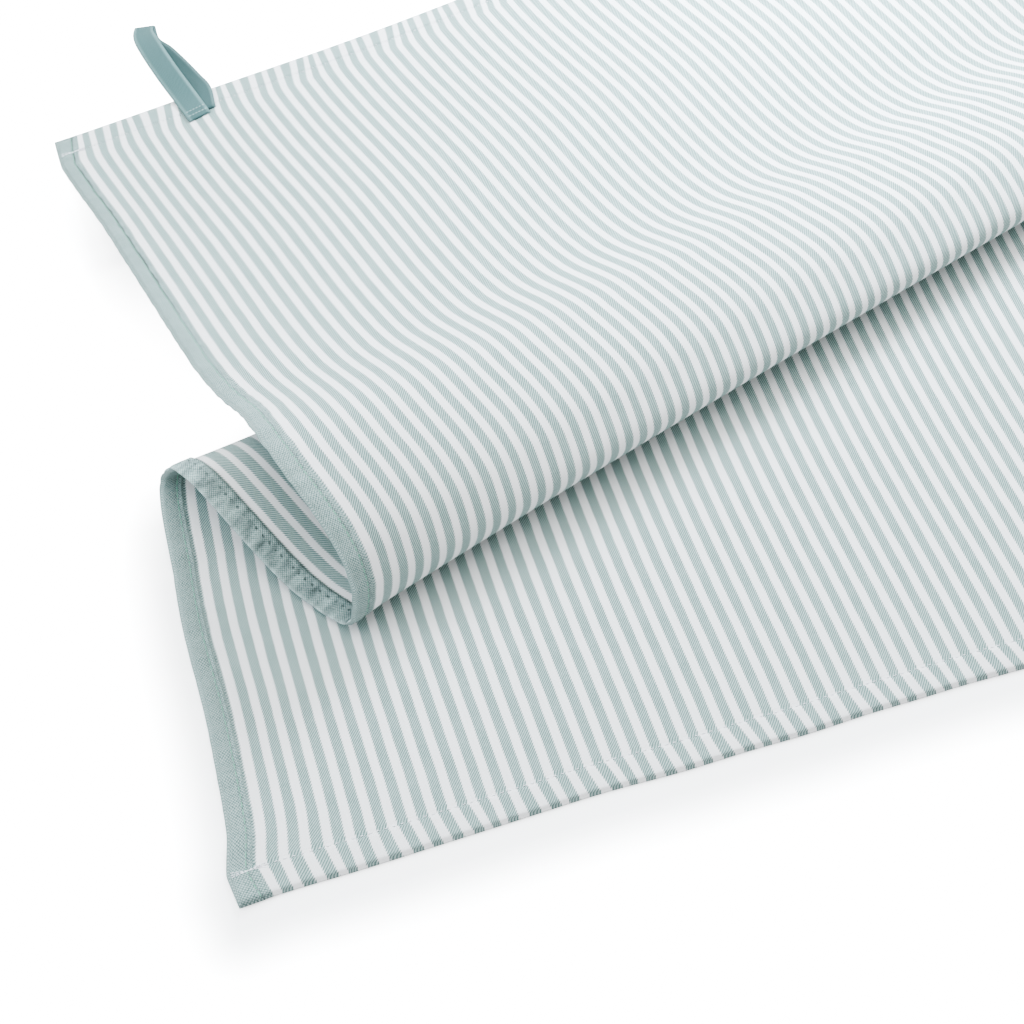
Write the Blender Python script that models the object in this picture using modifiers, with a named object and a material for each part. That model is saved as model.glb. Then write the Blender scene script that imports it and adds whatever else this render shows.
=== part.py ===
"""Square woven tea towel, folded back on itself in a loose S, with a tape hanging loop.

The near layer lies flat with its right side up. The cloth turns over a small back curl, comes
forward with its reverse side up, turns again in a wide front roll and runs away flat to the far
edge. The roll stands highest at the open left end and sinks towards the right.

Millimetres in the tables, metres in the scene. X runs along the near edge, Y away from it, Z up.
"""

from collections import namedtuple

import bmesh
import bpy
import numpy as np

MM = 0.001

TOWEL_SIDE = 650.0
CLOTH_THICKNESS = 1.6
HEM_THICKNESS = 2.4
SIDE_HEM_WIDTH = 10.5
END_HEM_WIDTH = 12.5
HEM_STEP = 1.5
BOX_CENTRE = (325.4, 279.0)

FoldLine = namedtuple("FoldLine", "left_x left_y left_z right_x right_y right_z bow_x bow_y cells")
FOLD_LINES = {
    "near edge": FoldLine(-7, 0, 0, 643, 0, 0, 0, 0, 7),
    "lift": FoldLine(-6, 140, 0, 645, 265, 0, 0, 0, 5),
    "curl back": FoldLine(-1, 180, 17, 655, 303, 5, 0, 5, 4),
    "curl top": FoldLine(3, 175, 29, 660, 303, 12, -5, 8, 6),
    "slope": FoldLine(45, 108, 7, 666, 286, 8, -5, 10, 3),
    "rest": FoldLine(55, 95, 10, 670, 273, 8, -5, 8, 4),
    "roll front": FoldLine(60, 95, 28, 670, 278, 18, -5, 0, 4),
    "roll top front": FoldLine(60, 100, 40, 665, 300, 28, -5, 5, 6),
    "roll crest": FoldLine(45, 140, 64, 655, 325, 20, -5, 10, 6),
    "over curl": FoldLine(29, 195, 40, 650, 360, 4, -5, 0, 6),
    "flat start": FoldLine(8, 285, 20, 633, 464, 0, -10, -6, 6),
    "end flat": FoldLine(-14, 377, 0, 611, 531, 0, -10, -13, 2),
    "far edge": FoldLine(-20, 404, 0, 605, 558, 0, -10, -13, 0),
}
HEIGHT_TAPER = 3.4
PATH_STEPS = 12
COLUMNS = 30
COLUMN_SPREAD = 1.35
ROW_BEFORE_COLUMN = 1000.0

TAPE_WIDTH = 12.0
TAPE_THICKNESS = 1.0
TAPE_CELLS_ACROSS = 2
TAPE_STEPS = 4
LOOP_FROM_CORNER = 78.0
LOOP_INSIDE_EDGE = 16.0
SEAT_GAP = 0.3
TAPE_LIFT = HEM_THICKNESS + SEAT_GAP

LoopPoint = namedtuple("LoopPoint", "out side up turn roll")
LOOP_PATH = {
    "lower end": LoopPoint(0, 6, 0, 4, 0),
    "lower edge": LoopPoint(15, 9, 0.3, 4, 0),
    "lower drop": LoopPoint(25, 8, -1.0, 4, 0),
    "lower reach": LoopPoint(50, 2.4, 0, 4, 8),
    "lower turn": LoopPoint(61, -1, 0.5, 10, -5),
    "tip": LoopPoint(67.5, 0.5, 5, 20, -25),
    "upper turn": LoopPoint(59, -2.8, 9, 12, -15),
    "upper reach": LoopPoint(43.5, -4, 11, 8, 10),
    "upper drop": LoopPoint(26, -2.5, 8, 6, 12),
    "upper edge": LoopPoint(11.5, 0.5, 3.4, 6, 6),
    "upper end": LoopPoint(-3, 2, 2.4, 8, 0),
}


def clear_scene():
    for item in list(bpy.data.objects):
        bpy.data.objects.remove(item, do_unlink=True)


def smooth_path(points, steps):
    """Points along a smooth curve through the given ones, with its knots at every steps-th point."""
    chords = np.linalg.norm(np.diff(points[:, :3], axis=0), axis=1)
    slopes = np.diff(points, axis=0) / chords[:, None]
    near, far = chords[:-1, None], chords[1:, None]
    inner = (slopes[:-1] * far + slopes[1:] * near) / (near + far)
    tangents = np.vstack([slopes[:1], inner, slopes[-1:]])
    spans = []
    for k, chord in enumerate(chords):
        q = np.arange(steps)[:, None] / steps
        start = (1 + 2 * q) * (1 - q) ** 2 * points[k] + q * (1 - q) ** 2 * chord * tangents[k]
        end = q**2 * (3 - 2 * q) * points[k + 1] - q**2 * (1 - q) * chord * tangents[k + 1]
        spans.append(start + end)
    return np.vstack(spans + [points[-1:]])


def fold_points(share):
    """Where each fold line stands at this share of the width, from 0 at the left hem to 1."""
    rows = np.array(list(FOLD_LINES.values()), float)
    left, right, bow = rows[:, 0:3], rows[:, 3:6], rows[:, 6:8]
    points = left + (right - left) * share
    points[:, 2] = right[:, 2] + (left[:, 2] - right[:, 2]) * (1 - share) ** HEIGHT_TAPER
    points[:, :2] += bow * 4 * share * (1 - share)
    points[:, :2] -= BOX_CENTRE
    return points


def row_lengths(marks):
    """Lengths along the cloth at which the rows of the mesh lie, with the end hems marked off."""
    cells = [row.cells for row in FOLD_LINES.values()][:-1]
    lengths = [0.0, END_HEM_WIDTH]
    starts = [END_HEM_WIDTH + HEM_STEP] + list(marks[1:-1])
    ends = list(marks[1:-1]) + [marks[-1] - END_HEM_WIDTH - HEM_STEP]
    for start, end, count in zip(starts, ends, cells):
        lengths.extend(start + (end - start) * np.arange(count) / count)
    lengths.extend([ends[-1], marks[-1] - END_HEM_WIDTH, marks[-1]])
    return np.array(lengths)


def cloth_column(share):
    """The points of one column of the cloth, and their lengths from the near edge."""
    path = smooth_path(fold_points(share), PATH_STEPS)
    path[:, 2] = np.maximum(path[:, 2], 0.0)
    along = np.concatenate([[0.0], np.cumsum(np.linalg.norm(np.diff(path, axis=0), axis=1))])
    along *= TOWEL_SIDE / along[-1]
    lengths = row_lengths(along[::PATH_STEPS])
    points = np.stack([np.interp(lengths, along, path[:, axis]) for axis in range(3)], axis=1)
    return points, lengths


def column_widths():
    """Distances from the left hem at which the columns lie, closer together near the left end."""
    first = SIDE_HEM_WIDTH + HEM_STEP
    spread = (np.arange(COLUMNS + 1) / COLUMNS) ** COLUMN_SPREAD
    inner = first + (TOWEL_SIDE - 2 * first) * spread
    right_hem = [TOWEL_SIDE - SIDE_HEM_WIDTH, TOWEL_SIDE]
    return np.concatenate([[0.0, SIDE_HEM_WIDTH], inner, right_hem])


def sheet_mesh(name, points):
    """A mesh of one sheet from a grid of points, rows along the first axis and columns second."""
    rows, columns = points.shape[:2]
    bm = bmesh.new()
    bmesh.ops.create_grid(bm, x_segments=columns - 1, y_segments=rows - 1, size=1.0)
    bm.verts.sort(key=lambda v: v.co.y * ROW_BEFORE_COLUMN + v.co.x)
    for vert, point in zip(bm.verts, points.reshape(-1, 3)):
        vert.co = point * MM
    mesh = bpy.data.meshes.new(name)
    bm.to_mesh(mesh)
    bm.free()
    return mesh


def solid_from_sheet(name, mesh, thickness, colour, collection):
    """Places the sheet and thickens it towards the side that its normals face."""
    sheet = bpy.data.objects.new(name, mesh)
    collection.objects.link(sheet)
    shell = sheet.modifiers.new("thickness", "SOLIDIFY")
    shell.thickness = thickness * MM
    shell.offset = 1.0
    material = bpy.data.materials.new(name)
    material.use_nodes = True
    shader = material.node_tree.nodes["Principled BSDF"]
    shader.inputs["Base Color"].default_value = colour
    shader.inputs["Roughness"].default_value = 0.9
    mesh.materials.append(material)
    return sheet, shell


def build_cloth(collection):
    """One sheet with hems on all four sides, laid in its S of three layers."""
    widths = column_widths()
    columns = [cloth_column(width / TOWEL_SIDE) for width in widths]
    points = np.stack([column[0] for column in columns], axis=1)
    lengths = np.stack([column[1] for column in columns], axis=1)
    mesh = sheet_mesh("towel_cloth", points)
    colour = (0.62, 0.70, 0.67, 1.0)
    cloth, shell = solid_from_sheet("towel_cloth", mesh, HEM_THICKNESS, colour, collection)
    side = np.minimum(widths, TOWEL_SIDE - widths)[None, :] <= SIDE_HEM_WIDTH + HEM_STEP / 2
    end = np.minimum(lengths, TOWEL_SIDE - lengths) <= END_HEM_WIDTH + HEM_STEP / 2
    in_hem = (side | end).reshape(-1)
    group = cloth.vertex_groups.new(name="thickness")
    for index, hemmed in enumerate(in_hem):
        weight = 1.0 if hemmed else CLOTH_THICKNESS / HEM_THICKNESS
        group.add([index], weight, "REPLACE")
    shell.vertex_group = "thickness"
    return cloth


def edge_frame():
    """Seat of the loop on the far hem, with the directions along the edge and out of it."""
    share = LOOP_FROM_CORNER / TOWEL_SIDE
    spread = TAPE_WIDTH / 2 / TOWEL_SIDE
    seat, before, after = (fold_points(share + shift)[-1] for shift in (0, -spread, spread))
    side = (after - before) / np.linalg.norm(after - before)
    out = np.array([-side[1], side[0], 0.0])
    return seat - out * LOOP_INSIDE_EDGE, side, out


def build_loop(collection):
    """A doubled tape with an open eye, both ends sewn one on the other over the far hem."""
    seat, side, out = edge_frame()
    path = smooth_path(np.array(list(LOOP_PATH.values()), float), TAPE_STEPS)
    rise = np.array([0.0, 0.0, 1.0])
    centres = seat + path[:, :1] * out + path[:, 1:2] * side + (path[:, 2:3] + TAPE_LIFT) * rise
    turn, roll = np.radians(path[:, 3:4]), np.radians(path[:, 4:5])
    cross = (np.cos(turn) * side + np.sin(turn) * out) * np.cos(roll) + np.sin(roll) * rise
    shifts = (np.arange(TAPE_CELLS_ACROSS + 1) / TAPE_CELLS_ACROSS - 0.5) * TAPE_WIDTH
    points = centres[:, None, :] + shifts[None, :, None] * cross[:, None, :]
    mesh = sheet_mesh("hanging_loop", points)
    colour = (0.24, 0.40, 0.40, 1.0)
    return solid_from_sheet("hanging_loop", mesh, TAPE_THICKNESS, colour, collection)[0]


def main():
    clear_scene()
    collection = bpy.data.collections.new("tea_towel")
    bpy.context.scene.collection.children.link(collection)
    build_cloth(collection)
    build_loop(collection)


main()
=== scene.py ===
"""Looks of a square striped tea towel, folded in a loose S, with a tape hanging loop.

The cloth's tables are in millimetres. The lights, the camera and the properties are in metres. X
runs along the near edge, Y away from it, Z up.
"""

from collections import namedtuple
from math import pi, radians

import bmesh
import bpy
import numpy as np
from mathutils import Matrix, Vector
from mathutils.bvhtree import BVHTree


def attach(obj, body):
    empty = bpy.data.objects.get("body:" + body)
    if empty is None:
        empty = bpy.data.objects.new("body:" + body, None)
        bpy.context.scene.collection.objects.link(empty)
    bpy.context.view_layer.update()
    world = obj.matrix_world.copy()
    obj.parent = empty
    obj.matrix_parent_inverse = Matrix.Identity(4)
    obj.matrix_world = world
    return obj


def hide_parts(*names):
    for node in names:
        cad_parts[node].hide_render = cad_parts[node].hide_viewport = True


bl_info = {
    "name": "Striped tea towel",
    "version": (1, 0, 0),
    "blender": (4, 5, 0),
    "location": "View3D > Sidebar > Tea towel",
    "description": "Builds a folded striped tea towel with its hems, stitches and hanging loop",
    "category": "Object",
}

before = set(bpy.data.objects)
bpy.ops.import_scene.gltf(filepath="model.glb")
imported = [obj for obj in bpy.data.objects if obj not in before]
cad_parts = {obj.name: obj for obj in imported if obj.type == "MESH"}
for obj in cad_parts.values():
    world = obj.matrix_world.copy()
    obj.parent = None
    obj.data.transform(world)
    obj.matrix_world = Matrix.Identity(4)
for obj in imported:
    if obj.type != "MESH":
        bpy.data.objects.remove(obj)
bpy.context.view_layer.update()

MM = 0.001

# Fold lines from the near edge to the far one. Each runs from a point on the left hem to a point
# on the right hem, bowed in plan. Heights are those of the reverse side.
BOX_CENTRE = (325.4, 279.0)
FoldLine = namedtuple("FoldLine", "left_x left_y left_z right_x right_y right_z bow_x bow_y")
FOLD_LINES = {
    "near edge": FoldLine(-7, 0, 0, 643, 0, 0, 0, 0),
    "lift": FoldLine(-6, 140, 0, 645, 265, 0, 0, 0),
    "curl back": FoldLine(-1, 180, 17, 655, 303, 5, 0, 5),
    "curl top": FoldLine(3, 175, 29, 660, 303, 12, -5, 8),
    "slope": FoldLine(45, 108, 7, 666, 286, 8, -5, 10),
    "rest": FoldLine(55, 95, 10, 670, 273, 8, -5, 8),
    "roll front": FoldLine(60, 95, 28, 670, 278, 18, -5, 0),
    "roll top front": FoldLine(60, 100, 40, 665, 300, 28, -5, 5),
    "roll crest": FoldLine(45, 140, 64, 655, 325, 20, -5, 10),
    "over curl": FoldLine(29, 195, 40, 650, 360, 4, -5, 0),
    "flat start": FoldLine(8, 285, 20, 633, 464, 0, -10, -6),
    "end flat": FoldLine(-14, 377, 0, 611, 531, 0, -10, -13),
    "far edge": FoldLine(-20, 404, 0, 605, 558, 0, -10, -13),
}
HEIGHT_TAPER = 3.4
PATH_STEPS = 24

# Section of a hem from its folded edge inwards: how far the reverse side stands off the base
# sheet, and how thick the cloth is there.
HemPoint = namedtuple("HemPoint", "inwards lift thickness")
HEM_SECTION = (
    HemPoint(0.0, 0.75, 0.5),
    HemPoint(0.4, 0.35, 1.3),
    HemPoint(1.1, 0.08, 1.9),
    HemPoint(2.2, 0.0, 2.1),
    HemPoint(4.5, 0.0, 2.1),
)
SIDE_STITCH_DIP = 0.3
END_STITCH_DIP = 0.1
STITCH_DIP_REACH = 1.1
HEM_FALL = 1.3
FIELD_LIFT = 1.0
FIELD_THICKNESS = 0.95

# Spacing of the cloth mesh's lines between the hems, and the least spacing of those in the hems.
ACROSS_STEP = 6.4
ALONG_STEP = 1.9
LEAST_STEP = 0.25
# Lines beside a stitch line, as shares of the reach of its dip.
DIP_LINES = (-1.6, -0.7, 0.0, 0.7, 1.6)
# Lines over the fall from the hem to the field, as shares of its width.
FALL_LINES = (-0.5, 0.0, 0.5, 1.3)

# Soft waves of an edge, in plan: where along the edge, how far each reaches, how far it shifts the
# edge (away from the viewer, or to the right).
Wave = namedtuple("Wave", "along reach shift")
NEAR_EDGE_WAVES = (
    Wave(0, 14, -1.7),
    Wave(40, 40, -1.5),
    Wave(100, 40, -0.9),
    Wave(172, 26, -1.6),
    Wave(222, 30, -2.0),
    Wave(268, 22, -1.2),
    Wave(318, 34, -2.4),
    Wave(400, 40, -0.2),
    Wave(505, 45, -1.7),
    Wave(610, 35, 0.3),
)
SIDE_HEM_WAVES = (
    Wave(0, 17, -4.2),
    Wave(14, 8, -1.5),
    Wave(24, 12, -0.4),
    Wave(75, 32, 1.9),
    Wave(165, 26, -0.6),
    Wave(415, 24, 2.6),
    Wave(585, 38, 1.7),
    Wave(645, 22, -0.6),
)
FAR_EDGE_WAVES = (
    Wave(185, 75, -2.6),
    Wave(268, 60, -2.2),
    Wave(430, 60, 1.5),
)
WAVE_DEPTH = 34.0

# The left hem's rise over the curl: where along it, how far that reaches, and how high, in mm.
CURL_RISE = Wave(203, 22, 1.5)

# Puckers that the stitches pull into the side hems: their repeat along the hem, the longer repeat
# over which that drifts, and their height.
Pucker = namedtuple("Pucker", "repeat drift height")
PUCKERS = (Pucker(10.3, 61, 0.30), Pucker(6.7, 37, 0.14), Pucker(23, 97, 0.22))
PUCKER_PROFILE = ((0, 0.9), (4, 1.0), (7.3, 0.25), (9.2, 0.6), (15, 0.0))

# How far each end hem was dragged along its edge as it was sewn, and by what share that varies.
NEAR_HEM_SLIP = 2.4
FAR_HEM_SLIP = 4.2
FAR_SLIP_DEPTH = 19.0
SLIP_CHANGE = 0.3
SLIP_REPEATS = (61.0, 27.0)

# Tape loop: points along the doubled tape, measured out of the far edge, along it and up, with the
# tape's turn in plan and its roll (right edge up) in degrees.
LoopPoint = namedtuple("LoopPoint", "out side up turn roll")
LOOP_PATH = {
    "lower end": LoopPoint(0, 6, 0, 4, 0),
    "lower edge": LoopPoint(15, 9, 0.3, 4, 0),
    "lower drop": LoopPoint(25, 8, -1.0, 4, 0),
    "lower reach": LoopPoint(50, 2.4, 0, 4, 8),
    "lower turn": LoopPoint(61, -1, 0.5, 10, -5),
    "tip": LoopPoint(67.5, 0.5, 5, 20, -25),
    "upper turn": LoopPoint(59, -2.8, 9, 12, -15),
    "upper reach": LoopPoint(43.5, -4, 11, 8, 10),
    "upper drop": LoopPoint(26, -2.5, 8, 6, 12),
    "upper edge": LoopPoint(11.5, 0.5, 2.2, 6, 6),
    "upper end": LoopPoint(-3, 2, 1.2, 8, 0),
}
LOOP_FROM_CORNER = 78.0
LOOP_INSIDE_EDGE = 16.0
TAPE_LIFT = 2.2
TAPE_STEPS = 8
TAPE_CELLS_ACROSS = 8

# Stitches. A stitch's share is of the step from one to the next, a seam's of the tape's width.
STITCH_HEIGHT = 0.05
END_STITCH_HEIGHT = -0.05
ROW_START = 1.0
SIDE_STITCH_SHARE = 0.92
END_STITCH_SHARE = 0.5
BACKTACK = 13.0
BACKTACK_START = 1.5
BACKTACK_ROWS = (-0.8, 0.0, 1.0)
BACKTACK_STEP_SHARE = 0.5
LOOP_SEAMS = (1.6, 4.6)
LOOP_STITCHES = 6
LOOP_SEAM_SHARE = 0.9
LOOP_STITCH_SHARE = 0.6

# Stripes and weave, in stripe repeats from the left hem's folded edge or from the near edge.
GREEN_CENTRE = 2.16
GREEN_HALF_FACE = 0.262
GREEN_HALF_REVERSE = 0.30
LEFT_BAND = 1.42
RIGHT_BAND = 82.90
BAND_BLUR = 0.03
TWILL_REPEAT = 0.15
PIT_REPEAT = 0.47
YARN_REPEAT = 0.075
# Painted shade in the face's side stitch groove deepens from this many repeats along, over this
# many.
GROOVE_SHADE_START = 62.0
GROOVE_SHADE_BUILD = 6.0
# How much of the pale floats stays hidden on each side.
BARE_FACE = 0.42
BARE_REVERSE = 0.34
# Height of the weave's bumps, in m.
RELIEF = 0.00012

# About the tape's length in tape widths, and the repeats of its rib and yarns on that scale.
TAPE_REPEATS = 13.0
RIB_REPEAT = 0.12
TAPE_YARN_REPEAT = 0.05

# The floor's mesh is fine as far out as this, in mm, with lines this far apart, and coarse beyond.
FLOOR_FINE = 460.0
FLOOR_STEP = 4.0
FLOOR_COARSE_LINES = 8
# The light comes from the far side, so the shade lies this far towards the viewer, in m, and ends
# between these distances from the middle on its way to the far edge.
SHADE_DRIFT = 0.006
SHADE_START = 0.04
SHADE_END = 0.12
SKY_COLOUR = (0.97, 0.985, 1.0)
WHITE = (1.0, 1.0, 1.0)

CAMERA_SPOT = (-0.2855, -0.4544, 0.5254)
CAMERA_TILT = 31.312
CAMERA_TURN = -17.605
CAMERA_LENS = 50.94
SENSOR_WIDTH = 36.0
CLIP_START = 0.01

# Large soft lights: where each stands, the spot on the floor that it faces, its side, its power
# and its colour.
SoftLight = namedtuple("SoftLight", "x y z aim_x aim_y size watts red green blue")
SOFT_LIGHTS = {
    "overhead": SoftLight(-0.30, 0.10, 1.30, -0.20, -0.10, 1.2, 7.6, 1.0, 1.0, 0.99),
    "far": SoftLight(0.10, 0.20, 0.33, 0.04, 0.05, 0.25, 2.8, 0.80, 0.90, 1.0),
    "left": SoftLight(-0.90, -0.10, 0.50, -0.25, -0.05, 0.6, 2.5, 0.75, 0.88, 1.0),
}


def length_property(name, description, default):
    return bpy.props.FloatProperty(
        name=name, description=description, default=default, min=0.0, unit="LENGTH"
    )


def strength_property(name, description, default):
    return bpy.props.FloatProperty(name=name, description=description, default=default, min=0.0)


def colour_property(name, description, default):
    return bpy.props.FloatVectorProperty(
        name=name,
        description=description,
        default=default,
        size=3,
        min=0.0,
        max=1.0,
        subtype="COLOR",
    )


class TowelSizes(bpy.types.PropertyGroup):
    side: length_property("Side", "Side of the square towel", 0.65)
    repeat: length_property("Stripe repeat", "One green and one white stripe", 0.00775)
    side_hem: length_property("Side hem", "Width of the side hems", 0.0105)
    end_hem: length_property("End hem", "Width of the end hems", 0.0125)
    side_stitch: length_property("Side stitch line", "Side stitches from the edge", 0.0073)
    end_stitch: length_property("End stitch line", "End stitches from the edge", 0.0118)
    stitch_step: length_property("Stitch step", "Distance between stitches", 0.003)
    thread: length_property("Thread", "Thickness of the thread", 0.00036)
    tape_width: length_property("Tape width", "Width of the loop's tape", 0.012)
    tape_thickness: length_property("Tape thickness", "Thickness of the loop's tape", 0.0011)


class TowelColours(bpy.types.PropertyGroup):
    white: colour_property("White yarn", "Off-white stripes", (0.83, 0.83, 0.825))
    green: colour_property("Green yarn", "Sage green warp", (0.165, 0.250, 0.235))
    green_float: colour_property("Pale floats", "Pale weft over the green", (0.47, 0.565, 0.55))
    side_thread: colour_property("Side thread", "Mint side hem thread", (0.25, 0.54, 0.40))
    end_thread: colour_property("End thread", "White end hem thread", (0.78, 0.79, 0.82))
    tape: colour_property("Tape", "Grey-green loop tape", (0.120, 0.200, 0.198))
    # Painted highlight along the tape's edges.
    tape_edge_highlight: colour_property("Tape edge", "Paler woven edge of the tape", (0.23, 0.34, 0.335))
    floor: colour_property("Floor", "Pale studio floor", (0.80, 0.80, 0.80))


class StudioSettings(bpy.types.PropertyGroup):
    sky: strength_property("Sky", "Strength of the even light", 0.68)
    key: strength_property("Soft lights", "Strength of the large soft lights", 1.0)
    floor_glow: strength_property("Floor glow", "Whiteness added to the floor as it is seen", 2.9)
    cover_reach: length_property("Cover reach", "How far from the cloth the floor darkens", 0.019)
    cover_depth: strength_property("Cover depth", "Share of the glow lost next to the cloth", 0.8)
    floor_size: length_property("Floor size", "Side of the floor", 8.0)


class Signal:
    """A node's output socket, with arithmetic that adds Math nodes."""

    def __init__(self, finish, socket):
        self.finish = finish
        self.socket = socket

    def maths(self, operation, *others):
        inputs = dict(enumerate((self, *others)))
        return self.finish.node("ShaderNodeMath", {"operation": operation}, inputs)

    def reflected(self, operation, other):
        return self.finish.node("ShaderNodeMath", {"operation": operation}, {0: other, 1: self})

    def __add__(self, other):
        return self.maths("ADD", other)

    __radd__ = __add__

    def __sub__(self, other):
        return self.maths("SUBTRACT", other)

    def __rsub__(self, other):
        return self.reflected("SUBTRACT", other)

    def __mul__(self, other):
        return self.maths("MULTIPLY", other)

    __rmul__ = __mul__

    def __truediv__(self, other):
        return self.maths("DIVIDE", other)

    def __abs__(self):
        return self.maths("ABSOLUTE")

    def wave(self, repeat):
        """From 0 to 1 and back once in each repeat."""
        return (self * (2 * pi / repeat)).maths("SINE") * 0.5 + 0.5

    def fraction(self):
        return self.maths("FRACT")

    def either(self, other):
        return self.maths("MAXIMUM", other)

    def clamped(self):
        return self.finish.node("ShaderNodeClamp", {}, {"Value": self})

    def ramp(self, start, end):
        """0 up to start, 1 from end on, smooth between."""
        return self.finish.node(
            "ShaderNodeMapRange",
            {"interpolation_type": "SMOOTHSTEP"},
            {"Value": self, "From Min": start, "From Max": end},
        )

    def near(self, centre, reach):
        """1 at centre, falling to 0 at reach from it."""
        return 1 - abs(self - centre).ramp(0.0, reach)


class Finish:
    """A material under construction."""

    def __init__(self, name, **constants):
        self.material = bpy.data.materials.new(name)
        self.material.use_nodes = True
        self.tree = self.material.node_tree
        self.shader = self.tree.nodes["Principled BSDF"]
        for socket, value in constants.items():
            self.shader.inputs[socket.replace("_", " ")].default_value = value

    def node(self, kind, settings, inputs, output=0):
        """One output of a new node of this kind, with its settings made before its inputs."""
        made = self.tree.nodes.new(kind)
        for setting, value in settings.items():
            setattr(made, setting, value)
        for key, value in inputs.items():
            self.plug(value, made.inputs[key])
        return Signal(self, made.outputs[output])

    def plug(self, value, socket):
        if isinstance(value, Signal):
            self.tree.links.new(value.socket, socket)
        elif socket.type == "RGBA":
            socket.default_value = (*value, 1.0)
        else:
            socket.default_value = value

    def feed(self, socket, value):
        self.plug(value, self.shader.inputs[socket])

    def blend(self, share, first, second):
        """Colour between first, at 0, and second, at 1."""
        made = self.tree.nodes.new("ShaderNodeMix")
        made.data_type = "RGBA"
        inputs = [made.inputs[k] for k in (0, 6, 7)]
        for value, socket in zip((share, first, second), inputs):
            self.plug(value, socket)
        return Signal(self, made.outputs[2])

    def shade(self, colour, factor):
        """The colour made darker or lighter by a factor that varies."""
        grey = self.node("ShaderNodeCombineXYZ", {}, {0: factor, 1: factor, 2: factor})
        return self.node("ShaderNodeVectorMath", {"operation": "MULTIPLY"}, {0: colour, 1: grey})

    def along_sheet(self):
        """Distances across and along the sheet, from 0 to 1 each."""
        spot = self.node("ShaderNodeUVMap", {"uv_map": "cloth"}, {})
        split = self.tree.nodes.new("ShaderNodeSeparateXYZ")
        self.plug(spot, split.inputs[0])
        return Signal(self, split.outputs[0]), Signal(self, split.outputs[1])

    def noise(self, vector, scale, detail=2.0, roughness=0.5):
        inputs = {"Vector": vector, "Scale": scale, "Detail": detail, "Roughness": roughness}
        return self.node("ShaderNodeTexNoise", {}, inputs)

    def bump(self, height, distance, strength=1.0):
        inputs = {"Height": height, "Distance": distance, "Strength": strength}
        self.feed("Normal", self.node("ShaderNodeBump", {}, inputs))


def stretched(finish, across, along, across_scale, along_scale):
    """A vector for a noise that is stretched across or along the cloth."""
    inputs = {0: across * across_scale, 1: along * along_scale}
    return finish.node("ShaderNodeCombineXYZ", {}, inputs)


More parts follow.
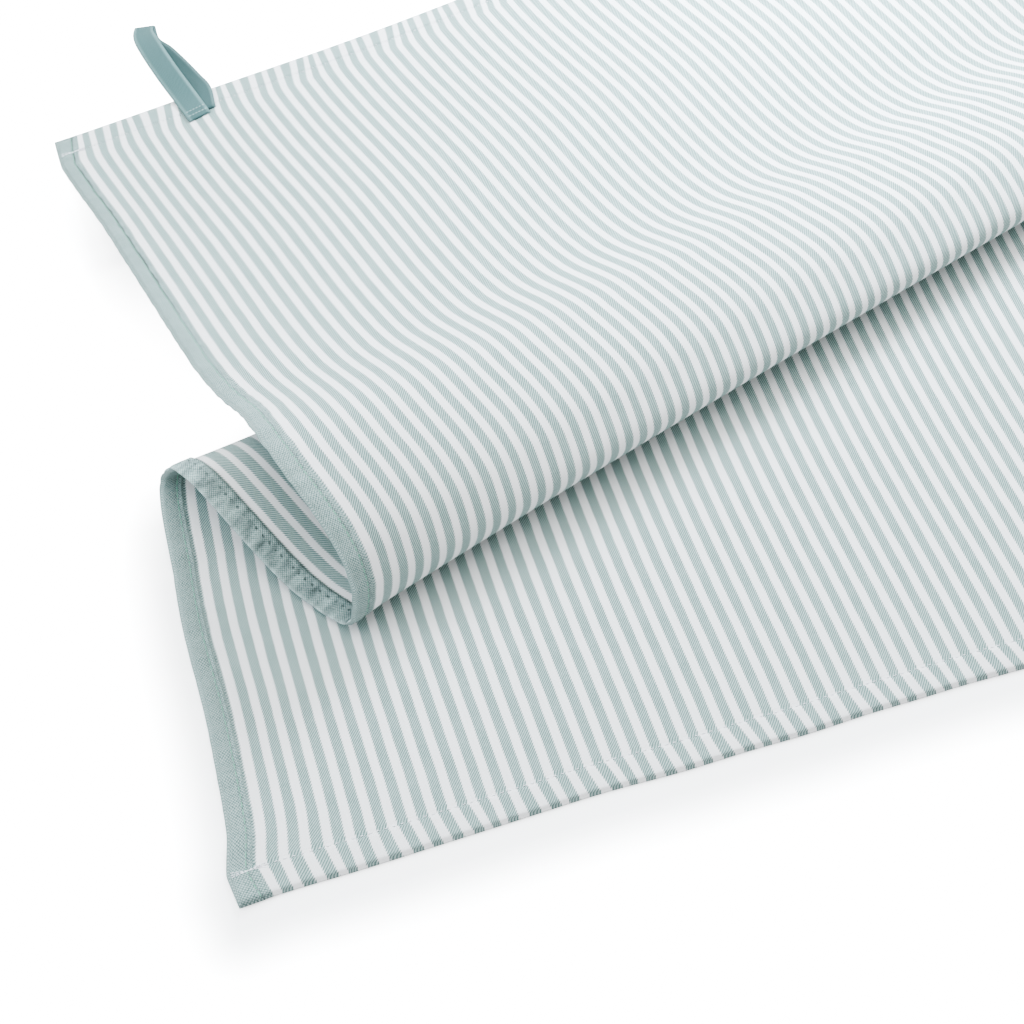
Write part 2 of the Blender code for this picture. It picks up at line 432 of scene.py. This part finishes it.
def woven_finish(name, sizes, colours, reverse):
    """Stripes, twill, hem bands and puckers of one side of the cloth, with painted shade in the
    puckers, stitch pits, stitch groove, hem edges and near edge, and painted light on the reverse
    band's ridges.
    """
    finish = Finish(name, Roughness=0.92, Sheen_Weight=0.12, Sheen_Roughness=0.6)
    finish.shader.inputs["Specular IOR Level"].default_value = 0.25
    repeats = sizes.side / sizes.repeat
    across_share, along_share = finish.along_sheet()
    wander = finish.noise(stretched(finish, across_share, along_share, 40, 14), 1.0) - 0.5
    wobble = finish.noise(stretched(finish, across_share, along_share, 90, 55), 1.0) - 0.5
    across = across_share * repeats + wander * 0.045 + wobble * 0.07
    along = along_share * repeats
    twill = (across - along).wave(TWILL_REPEAT)
    crossing = (across + along).wave(TWILL_REPEAT)
    weft = along.wave(YARN_REPEAT)
    warp = across.wave(YARN_REPEAT)
    stripe_half = GREEN_HALF_REVERSE if reverse else GREEN_HALF_FACE
    off_centre = abs((across - (GREEN_CENTRE - 0.5)).fraction() - 0.5)
    striped = (off_centre + twill * 0.07).ramp(stripe_half + 0.07, stripe_half)
    left_band = across.ramp(LEFT_BAND + BAND_BLUR, LEFT_BAND - BAND_BLUR)
    right_band = across.ramp(RIGHT_BAND - BAND_BLUR, RIGHT_BAND + BAND_BLUR)
    green = striped.either(left_band).either(right_band)
    mottle = finish.noise(stretched(finish, across_share, along_share, 900, 500), 1.0, 3.0)
    slub = finish.noise(stretched(finish, across_share, along_share, 260, 30), 1.0, 3.0)
    patches = finish.noise(stretched(finish, across_share, along_share, 60, 60), 1.0, 2.0)
    weave = twill * (1 + left_band * (crossing * 2.2 - 1.0))
    bare = BARE_REVERSE if reverse else BARE_FACE
    floats = (weave * 0.95 + weft * 0.1 + mottle * 0.5 + patches * 0.3 - bare).clamped()
    green_yarn = finish.blend(floats, colours.green, colours.green_float)
    yarns = warp * 0.3 + weft * 0.3 + mottle * 0.4
    white_yarn = finish.shade(colours.white, 0.90 + 0.10 * yarns)
    woven = finish.blend(green, white_yarn, green_yarn)
    tone = 0.965 + 0.07 * slub
    hem = sizes.side_hem / sizes.repeat
    seam = sizes.side_stitch / sizes.repeat
    in_left_hem = across.ramp(hem + 0.06, hem)
    pucker = finish.noise(stretched(finish, across_share, along_share, 24, 150), 1.0, 2.0)
    if reverse:
        ridges = finish.noise(stretched(finish, across_share, along_share, 70, 190), 1.0, 1.5)
        # Stitch pits on the reverse hem band: painted dark, as painted shade in the holes, and
        # also sunk by the bump.
        holes = (along + wander * 1.6).wave(PIT_REPEAT).ramp(0.62, 0.95)
        pits = across.near(seam + 0.02, 0.13) * holes * ridges.ramp(0.3, 0.55)
        # Painted shadow along the step at the reverse hem band's inner edge.
        inner_edge_shadow = across.near(hem + 0.04, 0.16)
        tone = tone * (1 - pits * 0.55) * (1 - inner_edge_shadow * 0.16)
        # Painted light and shade on the reverse hem band: lighter on its ridges, darker between
        # them, and darker on the whole.
        tone = tone * (1 + in_left_hem * (ridges * 1.5 - 0.86))
        folded_edge = across.ramp(0.26, 0.02)
        speckled = in_left_hem * 0.35 * mottle.ramp(0.46, 0.62)
        woven = finish.blend(speckled.either(folded_edge * 0.55), woven, colours.green_float)
        relief = in_left_hem * (ridges * 3.0 - pits * 2.5)
    else:
        folded_edge = across.ramp(0.22, 0.0)
        speckled = left_band * 0.3 * mottle.ramp(0.4, 0.6)
        woven = finish.blend(speckled.either(folded_edge * 0.3), woven, colours.green_float)
        # Painted shade in the side stitch groove, wavy with the puckers and deeper on the far part
        # of the cloth.
        groove_shade = (across + (pucker - 0.5) * 0.35).near(seam + 0.05, 0.13)
        far_groove_shade = along.ramp(GROOVE_SHADE_START, GROOVE_SHADE_START + GROOVE_SHADE_BUILD)
        # Painted shade between the left hem band's puckers, as well as the groove's painted shade.
        tone = tone * (1 - 0.16 * left_band * (1 - pucker)) * (1 - groove_shade * (0.2 + 0.4 * far_groove_shade))
        # Painted shade where the near edge rolls down, deeper on the green stripes.
        rolled_edge_shade = along.ramp(0.42, 0.0) * (0.5 + 0.5 * green)
        tone = tone * (1 - rolled_edge_shade * 0.26)
        relief = in_left_hem * pucker * 2.0
    finish.feed("Base Color", finish.shade(woven, tone))
    finish.bump(twill * green * 0.6 + weft * 0.16 + warp * 0.12 + relief, RELIEF)
    return finish.material


def tape_finish(name, colours):
    """Fine herringbone of the loop's tape, with a painted highlight along its edges and painted
    shade on its lower leg.
    """
    finish = Finish(name, Roughness=0.85, Sheen_Weight=0.1)
    finish.shader.inputs["Specular IOR Level"].default_value = 0.3
    across, along = finish.along_sheet()
    slant = abs(across - 0.5) * 2.0
    rib = (slant + along * TAPE_REPEATS).wave(RIB_REPEAT)
    yarn = (along * TAPE_REPEATS).wave(TAPE_YARN_REPEAT)
    mottle = finish.noise(stretched(finish, across, along, 30, 380), 1.0, 3.0)
    # A painted highlight along both edges of the tape.
    edges = slant.ramp(0.62, 0.86)
    base = finish.blend(edges * 0.7, colours.tape, colours.tape_edge_highlight)
    # Painted shade on the lower leg, which lies under the upper one.
    shaded_leg = along.ramp(0.52, 0.46)
    tone = (0.84 + 0.16 * rib + 0.30 * mottle) * (1 - shaded_leg * 0.22)
    finish.feed("Base Color", finish.shade(base, tone))
    finish.bump(rib * 0.6 + yarn * 0.3 + mottle * 0.4, RELIEF)
    return finish.material


def thread_finish(name, colour):
    """Twisted sewing thread."""
    finish = Finish(name, Roughness=0.7, Sheen_Weight=0.2)
    spot = finish.node("ShaderNodeTexCoord", {}, {}, "Object")
    fuzz = finish.noise(spot, 4000.0, 2.0)
    finish.feed("Base Color", finish.shade(colour, 0.86 + 0.28 * fuzz))
    return finish.material


def smooth_path(points, steps):
    """Points along a smooth curve through the given ones, with this many steps between two."""
    chords = np.linalg.norm(np.diff(points[:, :3], axis=0), axis=1)
    slopes = np.diff(points, axis=0) / chords[:, None]
    near, far = chords[:-1, None], chords[1:, None]
    inner = (slopes[:-1] * far + slopes[1:] * near) / (near + far)
    tangents = np.vstack([slopes[:1], inner, slopes[-1:]])
    spans = []
    for k, chord in enumerate(chords):
        q = np.arange(steps)[:, None] / steps
        start = (1 + 2 * q) * (1 - q) ** 2 * points[k] + q * (1 - q) ** 2 * chord * tangents[k]
        end = q**2 * (3 - 2 * q) * points[k + 1] - q**2 * (1 - q) * chord * tangents[k + 1]
        spans.append(start + end)
    return np.vstack(spans + [points[-1:]])


def fold_points(share):
    """Where each fold line stands at this share of the width, from 0 at the left hem to 1."""
    rows = np.array(list(FOLD_LINES.values()), float)
    left, right, bow = rows[:, 0:3], rows[:, 3:6], rows[:, 6:8]
    points = left + (right - left) * share
    points[:, 2] = right[:, 2] + (left[:, 2] - right[:, 2]) * (1 - share) ** HEIGHT_TAPER
    points[:, :2] += bow * 4 * share * (1 - share)
    points[:, :2] -= BOX_CENTRE
    return points


def bell(distance, reach):
    return np.exp(-((distance / reach) ** 2))


def hem_values(inwards, hem, stitch, depth):
    """Lift of the reverse side and thickness, at these distances in from a hem's folded edge."""
    section = np.array(HEM_SECTION)
    marks = np.concatenate([section[:, 0], [hem - HEM_FALL / 2, hem + HEM_FALL / 2]])
    lift = np.interp(inwards, marks, np.concatenate([section[:, 1], [0.0, FIELD_LIFT]]))
    last = section[-1, 2]
    thickness = np.interp(inwards, marks, np.concatenate([section[:, 2], [last, FIELD_THICKNESS]]))
    dip = depth * bell(inwards - stitch, STITCH_DIP_REACH)
    return lift + dip * 0.5, thickness - dip


class LaidCloth:
    """The towel's surface on its folds, at a grid of distances across it and along it, in mm."""

    def __init__(self, sizes):
        self.side = sizes.side / MM
        side_hem, side_stitch = sizes.side_hem / MM, sizes.side_stitch / MM
        end_hem, end_stitch = sizes.end_hem / MM, sizes.end_stitch / MM
        self.across = grid_lines(self.side, side_hem, side_stitch, ACROSS_STEP)
        self.along = grid_lines(self.side, end_hem, end_stitch, ALONG_STEP)
        columns = [self.column(distance) for distance in self.across]
        self.base = np.stack(columns, axis=1)
        self.wave_edges()
        self.slip_end_hems(end_hem)
        self.normals = self.find_normals()
        self.lift, self.thickness = self.find_section(sizes)
        self.lift = self.lift + self.puckers()

    def column(self, distance):
        path = smooth_path(fold_points(distance / self.side), PATH_STEPS)
        path[:, 2] = np.maximum(path[:, 2], 0.0)
        run = np.concatenate([[0.0], np.cumsum(np.linalg.norm(np.diff(path, axis=0), axis=1))])
        run *= self.side / run[-1]
        return np.stack([np.interp(self.along, run, path[:, axis]) for axis in range(3)], axis=1)

    def wave_edges(self):
        """Shifts the end hems and the left hem by their waves, less and less further in."""
        near, far, side = (
            sum(wave.shift * bell(spots - wave.along, wave.reach) for wave in waves)
            for spots, waves in (
                (self.across, NEAR_EDGE_WAVES),
                (self.across, FAR_EDGE_WAVES),
                (self.along, SIDE_HEM_WAVES),
            )
        )
        self.base[:, :, 1] += bell(self.along, WAVE_DEPTH)[:, None] * near[None, :]
        self.base[:, :, 1] += bell(self.side - self.along, WAVE_DEPTH)[:, None] * far[None, :]
        self.base[:, :, 0] += bell(self.across, WAVE_DEPTH)[None, :] * side[:, None]
        rise = CURL_RISE.shift * bell(self.along - CURL_RISE.along, CURL_RISE.reach)
        self.base[:, :, 2] += bell(self.across, WAVE_DEPTH / 2)[None, :] * rise[:, None]

    def slip_end_hems(self, hem):
        """Drags the end hems along their edges, and with them the towel's corners."""
        across = np.gradient(self.base, self.across, axis=1)
        near = NEAR_HEM_SLIP * np.clip(1 - self.along / hem, 0, 1)
        far = FAR_HEM_SLIP * np.clip(1 - (self.side - self.along) / FAR_SLIP_DEPTH, 0, 1)
        waves = sum(np.sin(2 * pi * self.across / repeat) for repeat in SLIP_REPEATS)
        slip = (near + far)[:, None] * (1 + waves * SLIP_CHANGE)[None, :]
        self.base += across * slip[:, :, None]

    def find_normals(self):
        """Unit normals of the base sheet, out of the right side."""
        run_across = np.gradient(self.base, self.across, axis=1)
        run_along = np.gradient(self.base, self.along, axis=0)
        normals = np.cross(run_across, run_along)
        return normals / np.linalg.norm(normals, axis=2, keepdims=True)

    def puckers(self):
        """How far the stitches make the side hems stand up, in soft uneven waves."""
        from_side = np.minimum(self.across, self.side - self.across)
        profile = np.interp(from_side, *zip(*PUCKER_PROFILE))
        height = np.zeros(len(self.along))
        for pucker in PUCKERS:
            drift = np.sin(2 * pi * self.along / pucker.drift)
            height += pucker.height * (1 + np.sin(2 * pi * self.along / pucker.repeat + 2 * drift))
        return height[:, None] * profile[None, :]

    def find_section(self, sizes):
        from_side = np.minimum(self.across, self.side - self.across)
        from_end = np.minimum(self.along, self.side - self.along)
        side_lift, side_thick = hem_values(
            from_side, sizes.side_hem / MM, sizes.side_stitch / MM, SIDE_STITCH_DIP
        )
        end_lift, end_thick = hem_values(
            from_end, sizes.end_hem / MM, sizes.end_stitch / MM, END_STITCH_DIP
        )
        lift = np.minimum(side_lift[None, :], end_lift[:, None])
        thickness = np.maximum(side_thick[None, :], end_thick[:, None])
        edge = np.minimum(from_side[None, :], from_end[:, None])
        section = np.array(HEM_SECTION)
        round_lift = np.interp(edge, section[:, 0], section[:, 1])
        round_thick = np.interp(edge, section[:, 0], section[:, 2])
        rounded = edge < section[-1, 0]
        lift = np.where(rounded, np.maximum(lift, round_lift), lift)
        return lift, np.where(rounded, np.minimum(thickness, round_thick), thickness)

    def sheet(self):
        """Points of the reverse side."""
        return self.base + self.normals * self.lift[:, :, None]

    def at(self, across, along, height=0.0, reverse=False):
        """Points and normals at the cloth's surface, height above it, on either side."""
        rise = self.lift if reverse else self.lift + self.thickness
        sign = -1.0 if reverse else 1.0
        surface = self.base + self.normals * (rise + sign * height)[:, :, None]
        return self.pick(surface, across, along), self.pick(self.normals, across, along) * sign

    def pick(self, values, across, along):
        """Values between the grid's lines."""
        row, v = between_lines(self.along, along)
        column, u = between_lines(self.across, across)
        low = values[row, column] * (1 - u) + values[row, column + 1] * u
        high = values[row + 1, column] * (1 - u) + values[row + 1, column + 1] * u
        return low * (1 - v) + high * v


def between_lines(lines, spots):
    """The line before each spot, and how far the spot is from it to the next, from 0 to 1."""
    before = np.clip(np.searchsorted(lines, spots) - 1, 0, len(lines) - 2)
    return before, ((spots - lines[before]) / (lines[before + 1] - lines[before]))[:, None]


def grid_lines(side, hem, stitch, step):
    """Distances at which the mesh has lines: close at the hems, even between them."""
    marks = [point.inwards for point in HEM_SECTION]
    marks += [stitch + STITCH_DIP_REACH * share for share in DIP_LINES]
    marks += [hem + HEM_FALL * share for share in FALL_LINES]
    marks.sort()
    kept = [marks[0]]
    for mark in marks[1:]:
        if mark - kept[-1] > LEAST_STEP:
            kept.append(mark)
    kept = np.array(kept)
    start = kept[-1] + step * 0.6
    inner = np.linspace(start, side - start, int(round((side - 2 * start) / step)) + 1)
    return np.concatenate([kept, inner, (side - kept)[::-1]])


def laid_grid(name, points, across, along):
    """A bmesh grid moved onto the points, with shares across and along it as its UV map."""
    rows, columns = points.shape[:2]
    bm = bmesh.new()
    bmesh.ops.create_grid(bm, x_segments=columns - 1, y_segments=rows - 1, size=1.0)
    bm.verts.sort(key=lambda vert: round((vert.co.y + 1) * (rows - 1) / 2) * columns + vert.co.x)
    shares = np.stack(np.meshgrid(across / across[-1], along / along[-1]), axis=2).reshape(-1, 2)
    uv = bm.loops.layers.uv.new("cloth")
    for vert, point, share in zip(bm.verts, points.reshape(-1, 3), shares):
        vert.co = point * MM
        for loop in vert.link_loops:
            loop[uv].uv = share
    for face in bm.faces:
        face.smooth = True
    mesh = bpy.data.meshes.new(name)
    bm.to_mesh(mesh)
    bm.free()
    piece = bpy.data.objects.new(name, mesh)
    bpy.context.scene.collection.objects.link(piece)
    return piece


def bead_shape():
    """Corners and faces of one rounded bead, a unit across."""
    bm = bmesh.new()
    bmesh.ops.create_uvsphere(bm, u_segments=6, v_segments=5, radius=0.5)
    corners = np.array([vert.co for vert in bm.verts])
    faces = [[vert.index for vert in face.verts] for face in bm.faces]
    bm.free()
    return corners, faces


def beads(name, spots, directions, normals, length, width):
    """One mesh of many short stitches, each a small rounded bead laid along its direction."""
    corners, faces = bead_shape()
    sides = np.cross(normals, directions)
    stretch = np.stack([sides * width, normals * width, directions * length], axis=1)
    points = (spots[:, None, :] + corners @ stretch).reshape(-1, 3) * MM
    starts = range(0, len(points), len(corners))
    copies = [[k + start for k in face] for start in starts for face in faces]
    mesh = bpy.data.meshes.new(name)
    mesh.from_pydata(points.tolist(), [], copies)
    mesh.shade_smooth()
    piece = bpy.data.objects.new(name, mesh)
    bpy.context.scene.collection.objects.link(piece)
    return piece


def stitch_row(cloth, start, end, step, reverse=False, height=STITCH_HEIGHT):
    """Places, directions and normals of stitches in a row between two points of the cloth."""
    start, end = np.array(start, float), np.array(end, float)
    count = int(np.linalg.norm(end - start) / step)
    shares = (np.arange(count)[:, None] + 0.5) / count
    flat = start + (end - start) * shares
    half = (end - start) / count * 0.35
    spots, normals = cloth.at(flat[:, 0], flat[:, 1], height, reverse)
    before = cloth.at(flat[:, 0] - half[0], flat[:, 1] - half[1], height, reverse)[0]
    after = cloth.at(flat[:, 0] + half[0], flat[:, 1] + half[1], height, reverse)[0]
    directions = after - before
    directions /= np.linalg.norm(directions, axis=1, keepdims=True)
    return spots, directions, normals


def joined(rows):
    return [np.concatenate(part) for part in zip(*rows)]


class TOWEL_OT_cloth(bpy.types.Operator):
    """Lays the striped cloth on its folds, with its hems, as one thin sheet"""

    bl_idname = "towel.cloth"
    bl_label = "Woven cloth"

    def execute(self, context):
        scene = context.scene
        sizes, colours = scene.towel_sizes, scene.towel_colours
        laid = LaidCloth(sizes)
        cloth = laid_grid("striped_cloth", laid.sheet(), laid.across, laid.along)
        thickest = laid.thickness.max()
        group = cloth.vertex_groups.new(name="thickness")
        for index, thickness in enumerate(laid.thickness.reshape(-1)):
            group.add([index], thickness / thickest, "REPLACE")
        shell = cloth.modifiers.new("thickness", "SOLIDIFY")
        shell.thickness = thickest * MM
        shell.offset = 1.0
        shell.vertex_group = "thickness"
        shell.material_offset = 1
        shell.material_offset_rim = 0
        cloth.data.materials.append(woven_finish("woven_face", sizes, colours, False))
        cloth.data.materials.append(woven_finish("woven_reverse", sizes, colours, True))
        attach(cloth, "root")
        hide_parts("towel_cloth")
        return {"FINISHED"}


class TOWEL_OT_stitches(bpy.types.Operator):
    """Sews the mint thread along the side hems and the white thread along the end hems"""

    bl_idname = "towel.stitches"
    bl_label = "Hem stitches"

    def execute(self, context):
        scene = context.scene
        sizes, colours = scene.towel_sizes, scene.towel_colours
        laid = LaidCloth(sizes)
        side, step = laid.side, sizes.stitch_step / MM
        width, seam, hem = sizes.thread / MM, sizes.side_stitch / MM, sizes.end_stitch / MM
        first, last = ROW_START, side - ROW_START
        sides = [
            stitch_row(laid, (across, first), (across, last), step)
            for across in (seam, side - seam)
        ]
        ends = [
            stitch_row(laid, (first, along), (last, along), step, reverse, END_STITCH_HEIGHT)
            for along in (hem, side - hem)
            for reverse in (False, True)
        ]
        short_step = step * BACKTACK_STEP_SHARE
        ends += [
            stitch_row(laid, (start, along + shift), (start + BACKTACK, along - shift), short_step)
            for along in (hem, side - hem)
            for start in (BACKTACK_START, side - BACKTACK_START - BACKTACK)
            for shift in BACKTACK_ROWS
        ]
        for name, rows, colour, share in (
            ("side_stitches", sides, colours.side_thread, SIDE_STITCH_SHARE),
            ("end_stitches", ends, colours.end_thread, END_STITCH_SHARE),
        ):
            piece = beads(name, *joined(rows), step * share, width)
            piece.data.materials.append(thread_finish(name, colour))
            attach(piece, "root")
        return {"FINISHED"}


class TOWEL_OT_loop(bpy.types.Operator):
    """Doubles the tape into the hanging loop and sews it over the far hem"""

    bl_idname = "towel.loop"
    bl_label = "Hanging loop"

    def execute(self, context):
        scene = context.scene
        sizes, colours = scene.towel_sizes, scene.towel_colours
        side = sizes.side / MM
        width = sizes.tape_width / MM
        share, spread = LOOP_FROM_CORNER / side, width / 2 / side
        seat, before, after = (fold_points(share + shift)[-1] for shift in (0, -spread, spread))
        along_edge = (after - before) / np.linalg.norm(after - before)
        out = np.array([-along_edge[1], along_edge[0], 0.0])
        seat = seat - out * LOOP_INSIDE_EDGE
        path = smooth_path(np.array(list(LOOP_PATH.values()), float), TAPE_STEPS)
        rise = np.array([0.0, 0.0, 1.0])
        centres = seat + path[:, :1] * out + path[:, 1:2] * along_edge
        centres = centres + (path[:, 2:3] + TAPE_LIFT) * rise
        turn, roll = np.radians(path[:, 3:4]), np.radians(path[:, 4:5])
        level = np.cos(turn) * along_edge + np.sin(turn) * out
        cross = level * np.cos(roll) + np.sin(roll) * rise
        shifts = (np.arange(TAPE_CELLS_ACROSS + 1) / TAPE_CELLS_ACROSS - 0.5) * width
        points = centres[:, None, :] + shifts[None, :, None] * cross[:, None, :]
        run = np.concatenate([[0.0], np.cumsum(np.linalg.norm(np.diff(centres, axis=0), axis=1))])
        tape = laid_grid("loop_tape", points, shifts - shifts[0], run)
        shell = tape.modifiers.new("thickness", "SOLIDIFY")
        shell.thickness = sizes.tape_thickness
        shell.offset = 1.0
        tape.data.materials.append(tape_finish("loop_tape", colours))
        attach(tape, "root")
        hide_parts("hanging_loop")

        seams = []
        shares = (np.arange(LOOP_STITCHES) + 0.5)[:, None] / LOOP_STITCHES - 0.5
        surface = rise * sizes.tape_thickness / MM
        directions, normals = (np.tile(way, (LOOP_STITCHES, 1)) for way in (cross[-1], rise))
        for inwards in LOOP_SEAMS:
            place = run[-1] - inwards
            centre = np.array([np.interp(place, run, centres[:, axis]) for axis in range(3)])
            spots = centre + shares * width * LOOP_SEAM_SHARE * cross[-1] + surface
            seams.append((spots, directions, normals))
        length = width / LOOP_STITCHES * LOOP_STITCH_SHARE
        seam = beads("loop_stitches", *joined(seams), length, sizes.thread / MM)
        seam.data.materials.append(thread_finish("loop_stitches", colours.green_float))
        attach(seam, "root")
        return {"FINISHED"}


def covered_floor(studio):
    """The floor, with an attribute that says how much of the light the cloth next to it takes."""
    fine = np.arange(-FLOOR_FINE, FLOOR_FINE + 1, FLOOR_STEP)
    coarse = np.geomspace(FLOOR_FINE, studio.floor_size / 2 / MM, FLOOR_COARSE_LINES)[1:]
    lines = np.concatenate([-coarse[::-1], fine, coarse])
    spots = np.stack([*np.meshgrid(lines, lines), np.zeros((len(lines), len(lines)))], axis=2)
    floor = laid_grid("floor", spots, lines - lines[0], lines - lines[0])
    cloth = bpy.data.objects["striped_cloth"].data
    corners = [vert.co for vert in cloth.vertices]
    surface = BVHTree.FromPolygons(corners, [face.vertices for face in cloth.polygons])
    drift = Vector((0.0, SHADE_DRIFT, 0.0))
    away = np.array([surface.find_nearest(vert.co + drift)[3] for vert in floor.data.vertices])
    from_middle = spots.reshape(-1, 3)[:, 1] * MM
    share = np.clip((SHADE_END - from_middle) / (SHADE_END - SHADE_START), 0, 1)
    cover = floor.data.attributes.new("cover", "FLOAT", "POINT")
    cover.data.foreach_set("value", bell(away, studio.cover_reach) * studio.cover_depth * share)
    return floor


class TOWEL_OT_stage(bpy.types.Operator):
    """Sets the pale floor, the soft light and the camera"""

    bl_idname = "towel.stage"
    bl_label = "Stage"

    def execute(self, context):
        scene = context.scene
        studio, colours = scene.towel_studio, scene.towel_colours
        floor = covered_floor(studio)
        finish = Finish("floor", Roughness=1.0, Emission_Strength=studio.floor_glow)
        finish.shader.inputs["Specular IOR Level"].default_value = 0.0
        seen = finish.node("ShaderNodeLightPath", {}, {}, "Is Camera Ray")
        cover = finish.node("ShaderNodeAttribute", {"attribute_name": "cover"}, {}, "Fac")
        finish.feed("Base Color", colours.floor)
        finish.feed("Emission Color", finish.shade(WHITE, seen * (1 - cover)))
        floor.data.materials.append(finish.material)

        world = bpy.data.worlds.new("studio")
        world.use_nodes = True
        background = world.node_tree.nodes["Background"]
        background.inputs["Color"].default_value = (*SKY_COLOUR, 1.0)
        background.inputs["Strength"].default_value = studio.sky
        scene.world = world
        for name, lamp in SOFT_LIGHTS.items():
            light = bpy.data.lights.new(name, "AREA")
            light.energy = lamp.watts * studio.key
            light.size = lamp.size
            light.color = (lamp.red, lamp.green, lamp.blue)
            holder = bpy.data.objects.new(name, light)
            holder.location = (lamp.x, lamp.y, lamp.z)
            aim = Vector((lamp.aim_x, lamp.aim_y, 0.0)) - holder.location
            holder.rotation_euler = aim.to_track_quat("-Z", "Y").to_euler()
            scene.collection.objects.link(holder)

        lens = bpy.data.cameras.new("camera")
        lens.lens = CAMERA_LENS
        lens.sensor_width = SENSOR_WIDTH
        lens.clip_start = CLIP_START
        camera = bpy.data.objects.new("camera", lens)
        camera.location = CAMERA_SPOT
        camera.rotation_euler = (radians(CAMERA_TILT), 0.0, radians(CAMERA_TURN))
        scene.collection.objects.link(camera)
        scene.camera = camera
        scene.view_settings.view_transform = "AgX"
        scene.view_settings.look = "AgX - Very High Contrast"
        return {"FINISHED"}


OPERATORS = (TOWEL_OT_cloth, TOWEL_OT_stitches, TOWEL_OT_loop, TOWEL_OT_stage)


class TOWEL_PT_panel(bpy.types.Panel):
    """Sizes, colours and pieces of the tea towel"""

    bl_idname = "TOWEL_PT_panel"
    bl_label = "Tea towel"
    bl_space_type = "VIEW_3D"
    bl_region_type = "UI"
    bl_category = "Tea towel"

    def draw(self, context):
        scene = context.scene
        for group in (scene.towel_sizes, scene.towel_colours, scene.towel_studio):
            box = self.layout.box()
            for name in group.__annotations__:
                box.prop(group, name)
        for operator in OPERATORS:
            self.layout.operator(operator.bl_idname)


GROUPS = {"towel_sizes": TowelSizes, "towel_colours": TowelColours, "towel_studio": StudioSettings}
CLASSES = (*GROUPS.values(), *OPERATORS, TOWEL_PT_panel)


def register():
    for one in CLASSES:
        bpy.utils.register_class(one)
    for name, group in GROUPS.items():
        setattr(bpy.types.Scene, name, bpy.props.PointerProperty(type=group))


def unregister():
    for name in GROUPS:
        delattr(bpy.types.Scene, name)
    for one in reversed(CLASSES):
        bpy.utils.unregister_class(one)


def main():
    register()
    for operator in OPERATORS:
        group, name = operator.bl_idname.split(".")
        getattr(getattr(bpy.ops, group), name)()


if __name__ == "__main__":
    main()
